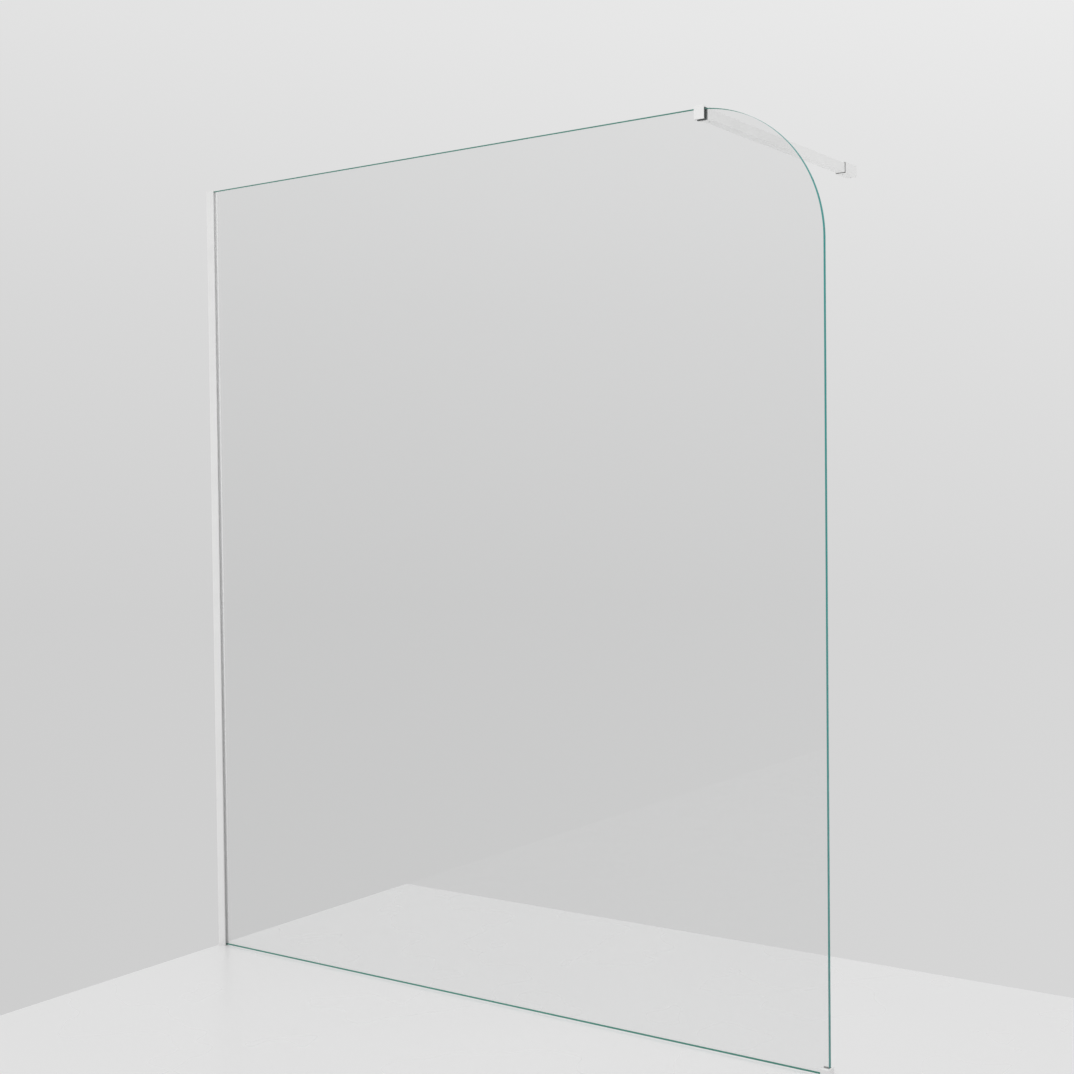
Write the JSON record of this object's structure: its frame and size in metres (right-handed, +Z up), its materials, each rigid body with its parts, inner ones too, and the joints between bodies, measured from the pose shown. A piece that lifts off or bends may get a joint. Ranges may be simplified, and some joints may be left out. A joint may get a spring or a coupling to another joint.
{
  "type": "walk-in shower screen",
  "caption": "Fixed walk-in shower screen: clear glass panel with a rounded top corner in a white wall profile, stayed by a square bar to the back wall and a small floor foot.",
  "frame": {"origin": "on the side wall's plane, at the foot of the wall profile and the middle of the glass's thickness", "axes": "+X along the glass away from the side wall, +Y from the glass to the back wall, +Z up"},
  "size_m": [1.7632, 0.786, 2.005],
  "materials": {
    "white_coated_metal": "satin white powder coat",
    "white_plastic": "moulded, satin",
    "pale_rubber": "extruded, matt",
    "grey_rubber": "extruded, matt",
    "dark_rubber": "extruded, matt",
    "dark_plastic": "moulded, matt",
    "clear_glass": "toughened, polished edges",
    "steel": "stainless",
    "bare_aluminium": "mill"
  },
  "bodies": {
    "frame": {"wall_profile": "white_coated_metal", "profile_gasket_front": "pale_rubber", "profile_gasket_rear": "pale_rubber", "profile_top_cap": "white_plastic", "profile_setting_block": "dark_rubber"},
    "panel": {"glass_panel": "clear_glass", "floor_foot": "white_coated_metal", "foot_liner": "grey_rubber"},
    "stabiliser": {"clamp_body": "white_coated_metal", "clamp_liner": "dark_rubber", "clamp_pressure_plate": "steel", "clamp_set_screw": "steel", "support_bar": "white_coated_metal", "bar_lock_screw": "steel"},
    "wall_socket": {"wall_sleeve": "white_coated_metal", "sleeve_bush": "dark_plastic", "sleeve_wall_base": "bare_aluminium", "sleeve_lock_screw": "steel", "bar_grip_screw": "steel"}
  },
  "joints": [
    {"name": "glass_adjust", "type": "slide", "parent": "frame", "child": "panel", "axis": [1, 0, 0], "range_m": [-0.003, 0.006]},
    {"name": "clamp_slide", "type": "slide", "parent": "panel", "child": "stabiliser", "axis": [1, 0, 0], "range_m": [-1.4, 0]},
    {"name": "socket_slide", "type": "slide", "parent": "stabiliser", "child": "wall_socket", "axis": [0, 1, 0], "range_m": [-0.012, 0.015]}
  ]
}
